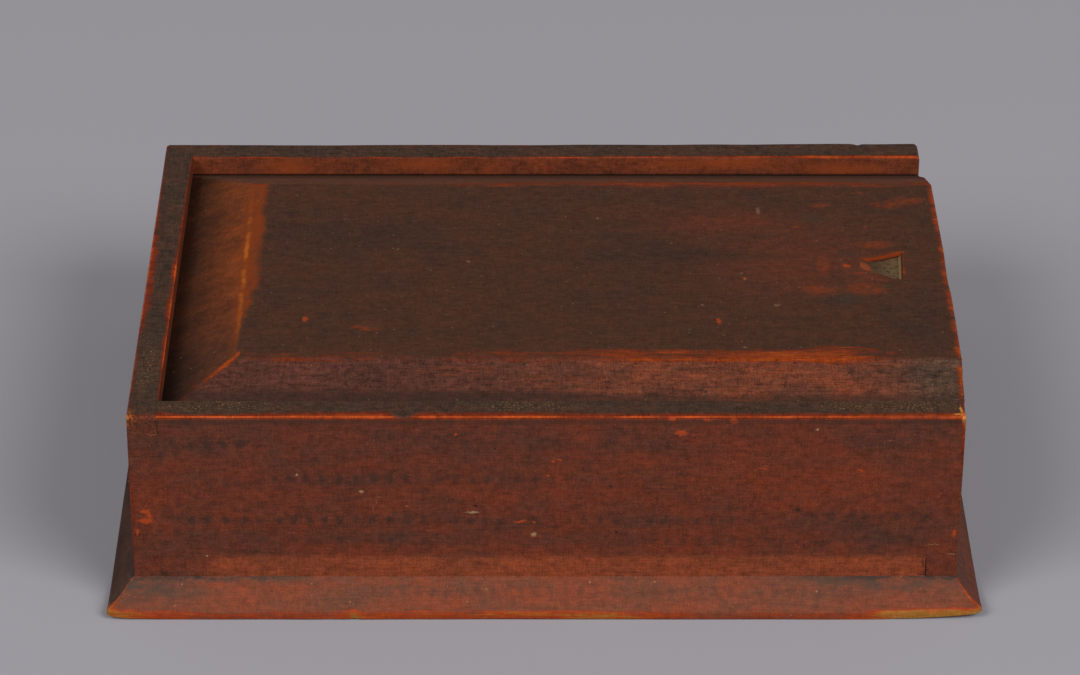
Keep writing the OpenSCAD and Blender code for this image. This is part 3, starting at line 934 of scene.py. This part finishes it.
lid_darks = field_spots(((92, -21, 5, 3), (40, 8, 30, 5), (-60, 20, 24, 10), (118, -40, 9, 12)))
lid_grimes = field_spots(((96, -20.3, 4, 3.5), (91, -13.3, 1.4, 1.2), (109.5, -12.7, 1.8, 1.6),
                          (97, 9, 2.6, 2), (112.3, 14, 1.7, 1.2), (88, 33, 4, 3)))
lid_warm = field_spots(((60, 30, 26, 9), (84, 4, 26, 20)))
lid_dusts = field_spots(((63.3, -3.8, 0.5, 0.7), (64.1, -7.7, 0.5, 0.6), (70.5, 38, 0.7, 2.4),
                         (50, -24.4, 0.5, 0.6), (73.3, -24.4, 0.9, 0.7), (62, -50.8, 0.6, 0.6),
                         (-24, 4, 0.5, 0.6), (-47, 12, 0.4, 0.5), (18, 33, 0.4, 0.6)))

lid_finish, tree, shader = new_material("lid_paint_worn", 0.1)
own = own_coords(tree)
x, y, _ = parts_of(own)
left_bevel = mask_of(tree, "left_bevel")
front_bevel = mask_of(tree, "front_bevel")
back_bevel = mask_of(tree, "back_bevel")
# The left bevel is amber, duller to the front, and painted dark by the wall as the shade the rim casts
# there. The front bevel is redder past the middle and dull at its right end.
to_wall = step(x, bevel_left + 1, left_inner + 1.5)
to_front = step(y, -5, -64)
amber_dark = layer((78, 39, 20), (60, 36, 25), to_front)
amber_dark = layer(amber_dark, (36, 22, 15), to_wall)
amber = layer((138, 64, 22), (94, 52, 32), to_front)
amber = layer(amber, (72, 38, 21), to_wall)
patina = layer((58, 39, 29), amber_dark, left_bevel)
past_middle = step(x, -50, 50)
side_patina = layer((60, 38, 30), (74, 44, 33), past_middle)
at_right = step(x, 100, 122)
side_patina = layer(side_patina, (54, 43, 34), at_right)
patina = layer(patina, side_patina, front_bevel)
warm = marks(own, lid_warm, 0.6, 0.9)
red = layer((82, 44, 27), (96, 44, 26), warm)
side_red = layer((88, 47, 37), (118, 58, 36), past_middle)
side_red = layer(side_red, (90, 60, 46), at_right)
red = layer(layer(red, amber, left_bevel), side_red, front_bevel)
# The back bevel is painted paler and greyer: partly dust, and partly a painted sheen.
patina = layer(patina, (82, 54, 41), back_bevel)
red = layer(red, (108, 60, 40), back_bevel)
# The patina is thinner on these bevels and in warm zones, and thicker in dark ones.
cover = times(warm, -0.25, 0.66)
cover = times(front_bevel, -0.06, cover)
cover = times(left_bevel, -0.14, cover)
cover = times(marks(own, lid_darks, 0.6, 0.9), 0.3, cover)
streaks = times(front_bevel, 1.2, times(left_bevel, 0.7, 1.55))
contrast = times(front_bevel, 2.9, times(left_bevel, -0.2, 3.3))
feeds = {"Grain": own, "Place": own, "Wear": mask_of(tree, "wear"), "Cover": cover, "Streaks": streaks,
         "Ragged": 2.4, "Contrast": contrast, "Patina": patina, "Paint": red, "Thin": (112, 42, 13),
         "Wood": (154, 68, 20)}
paint = use(old_paint, feeds)

# Painted shade lies where the bevels run in under the rim and the groove, and in the corner at the front
# left.
towards_rim = times(step(x, -30, 40), 1.8, y)
near_rim = times(step(towards_rim, -67.5, -70.5), front_bevel)
near_groove = times(step(y, 66, 77), back_bevel)
bevel_shade = times(calc("MAXIMUM", near_rim, near_groove), 0.6)
colour = layer(paint["Color"], (46, 33, 26), bevel_shade)
corner_shade = times(step(x, left_inner + 13, left_inner + 1), left_bevel)
corner_shade = times(corner_shade, step(y, -15, -68))
colour = coat(colour, (26, 18, 14), corner_shade, 0.75)

# The left arris: a rubbed band that widens to the back, with a brighter broken line along the arris itself.
from_arris = calc("SUBTRACT", x, bevel_left)
feeds = {"Value": y, "From Min": -47, "From Max": -12, "To Min": -1.5, "To Max": 4.0}
band_width = put("MapRange", feeds).outputs["Result"]
bends = calc("SUBTRACT", noise(own, (16, 7, 7), 4.0, 0.6), 0.5)
past_band = calc("SUBTRACT", times(bends, 5, from_arris), band_width)
beside = step(calc("ABSOLUTE", y), bevel_side + 0.6, bevel_side - 0.6)
band = times(step(past_band, 1.5, -1.5), step(from_arris, -4, 0.3))
band = times(band, beside)
blotch = step(noise(own, (3, 6, 6), 3.0, 0.65), 0.2, 0.6)
band = times(band, times(blotch, 0.5, 0.5))
colour = layer(colour, (116, 50, 15), band)
off_line = times(bends, 2.4, calc("ADD", from_arris, 0.5))
off_line = calc("ABSOLUTE", off_line)
line_there = step(noise(own, (40, 9, 9), 3.0, 0.7), 0.34, 0.6)
line_there = times(line_there, step(y, -60, 5))
line_there = times(line_there, step(y, 50, 20))
line = times(step(off_line, 1.2, 0.1), line_there)
colour = layer(colour, (164, 82, 19), line)

# Knocks, grime, strokes of red, chips and dust, one over another.
broken = step(noise(own, (2.4, 2, 2), 4.0, 0.7), 0.3, 0.66)
knocks = times(marks(own, lid_reds, 0.7, 0.7), times(broken, 0.75))
colour = layer(colour, (124, 50, 20), knocks)
grimy = times(marks(own, lid_grimes, 0.9, 0.8), times(broken, -0.5, 0.8))
colour = layer(colour, (54, 46, 37), grimy)
streaky = noise(own, (5, 0.9, 0.9), 4.0, 0.7)
strokes = times(marks(own, lid_strokes, 1.2, 0.8), step(streaky, 0.46, 0.6))
colour = coat(colour, (138, 60, 25), strokes, 0.34)
scraped = times(times(at_right, front_bevel), step(streaky, 0.58, 0.7))
colour = coat(colour, (126, 100, 76), scraped, 0.5)
chips = marks(own, lid_chips, 0.7, 0.4)
colour = coat(colour, (150, 58, 22), chips, 0.8)
dust = use(specks, {"Vector": own, "Pitch": 1.8, "Share": 0.16})[0]
dust = times(calc("MAXIMUM", dust, marks(own, lid_dusts, 0.6, 0.4)), 0.32)
colour = layer(colour, (140, 112, 84), dust)
# The bevel at the back, which hands seldom touch, is dull with dust.
rough = times(back_bevel, 0.4, paint["Roughness"])
surface(shader, colour, rough, paint["Height"], 0.2)

# Inside the notch: bare wood gone grey, and dark red on the cut sides. The wall is painted dark at its top
# as shade and pale lower down as light falling on it, which makes a paler line along its foot.
notch_finish, tree, shader = new_material("notch_wood")
own = own_coords(tree)
x, _, z = parts_of(own)
depth = calc("SUBTRACT", field, z)
mottle = noise(own, (2.2, 1.8, 1.8), 4.0, 0.7)
to_wall = step(times(mottle, 6, x), notch_tip + 3, notch_wall + 2)
colour = layer((58, 41, 30), (98, 76, 52), to_wall)
crumbs = noise(own, (0.7, 0.6, 0.6), 3.0, 0.7)
colour = layer(colour, (52, 41, 30), step(mottle, 0.46, 0.66))
colour = layer(colour, (118, 98, 66), times(step(crumbs, 0.54, 0.7), 0.6))
faces = parts_of(put("NewGeometry", {}, tree).outputs["True Normal"])
on_side = step(calc("ABSOLUTE", faces[1]), 0.4, 0.7)
on_wall = step(faces[0], -0.2, -0.5)
side_colour = layer((136, 54, 20), (72, 38, 22), step(depth, 0.8, 1.7))
colour = layer(colour, side_colour, on_side)
# Painted shade at the top of the wall, painted light on it lower down.
wall = layer((66, 44, 28), (134, 108, 72), step(depth, 0.6, 1.2))
colour = layer(colour, wall, on_wall)
flakes = marks(own, (((103.2, 2.0, 70), (2.6, 2.4, 2)), ((100.6, 4.4, 70), (1.2, 1, 2))), 0.8, 0.5)
colour = coat(colour, (136, 62, 32), flakes, 0.85)
surface(shader, colour, times(mottle, 0.3, 0.5), mottle, 0.25)

lid_under = bare_wood("lid_underside_wood", 0, (158, 114, 70), (92, 62, 38))
lid_arrises = ((bevel_left, notch_tip, notch_wall, lid_end),
               (-nose_half, -bevel_side, -notch_half, notch_half, bevel_side, nose_half), (field,))
lid = cut_board("lid_panel", "worn_lid_panel", lid_arrises, 4)
worn_points = points_of(lid)
lid_masks = wear_lid(worn_points)
finish_board(lid, worn_points, lid_masks, [lid_finish, lid_under, notch_finish])
for face in lid.data.polygons:
    middle = face.center / mm
    underneath = face.normal.z < -0.9 and middle.z < lid_low.z + 0.1
    in_notch = abs(middle.y) < notch_half + 2 and notch_tip - 1 < middle.x < notch_wall + 1
    below = tongue_top < middle.z < field - 0.18
    if underneath:
        face.material_index = 1
    elif in_notch and below:
        face.material_index = 2
    else:
        face.material_index = 0
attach(lid, "lid")
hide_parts("lid_panel")


# The table: a sheet of pale grey paper that lies flat far past the box on every side. It isn't part of the
# box.

floor_half = 6.0
floor_mesh = bpy.data.meshes.new("floor")
floor_corners = [(x * floor_half, y * floor_half, 0) for x, y in ((-1, -1), (1, -1), (1, 1), (-1, 1))]
floor_mesh.from_pydata(floor_corners, [], [(0, 1, 2, 3)])
floor = bpy.data.objects.new("floor", floor_mesh)
bpy.context.scene.collection.objects.link(floor)
paper, _, shader = new_material("grey_paper", 0.1)
shader.inputs["Roughness"].default_value = 0.9
shader.inputs["Base Color"].default_value = linear(153, 151, 157)
floor_mesh.materials.append(paper)


# The light: two soft lamps in front of the box, one on each side, and a weak even light from all around.
# The right lamp is a little stronger.

scene = bpy.context.scene
scene.view_settings.view_transform = "Standard"
scene.world = bpy.data.worlds.new("even_light")
scene.world.use_nodes = True
scene.world.node_tree.nodes["Background"].inputs["Color"].default_value = (1, 1, 1, 1)
scene.world.node_tree.nodes["Background"].inputs["Strength"].default_value = 0.24
lamp_distance, lamp_height, lamp_size, lamp_power = 4.2, math.radians(40), 2.4, 113
for name, turn, share in (("left_lamp", -45, 0.93), ("right_lamp", 45, 1.07)):
    light = bpy.data.lights.new(name, "AREA")
    light.shape = "DISK"
    light.size = lamp_size
    light.energy = lamp_power * share
    lamp = bpy.data.objects.new(name, light)
    scene.collection.objects.link(lamp)
    around = math.radians(turn)
    outward = math.cos(lamp_height)
    towards = Vector((math.sin(around) * outward, -math.cos(around) * outward, math.sin(lamp_height)))
    lamp.location = towards * lamp_distance
    lamp.rotation_euler = towards.to_track_quat("Z", "Y").to_euler()


# The camera: in front of the box and above it, with a long lens, at the photograph's angle. Its place and
# its turns were fitted to the corners and edges of the box.

image_width, focal_pixels = 1080, 4300
camera_data = bpy.data.cameras.new("camera")
camera_data.sensor_width = 36
camera_data.lens = focal_pixels / image_width * camera_data.sensor_width
camera = bpy.data.objects.new("camera", camera_data)
scene.collection.objects.link(camera)
down, turn, roll = math.radians(30.105), math.radians(0.419), math.radians(0.217)
ahead = Vector((math.sin(turn) * math.cos(down), math.cos(turn) * math.cos(down), -math.sin(down)))
level = Vector((math.cos(turn), -math.sin(turn), 0))
upward = level.cross(ahead)
side = math.cos(roll) * level + math.sin(roll) * upward
upward = math.cos(roll) * upward - math.sin(roll) * level
camera.matrix_world = Matrix((side, upward, -ahead)).transposed().to_4x4()
camera.location = (-9.8 * mm, -1200.9 * mm, 740.8 * mm)
scene.camera = camera
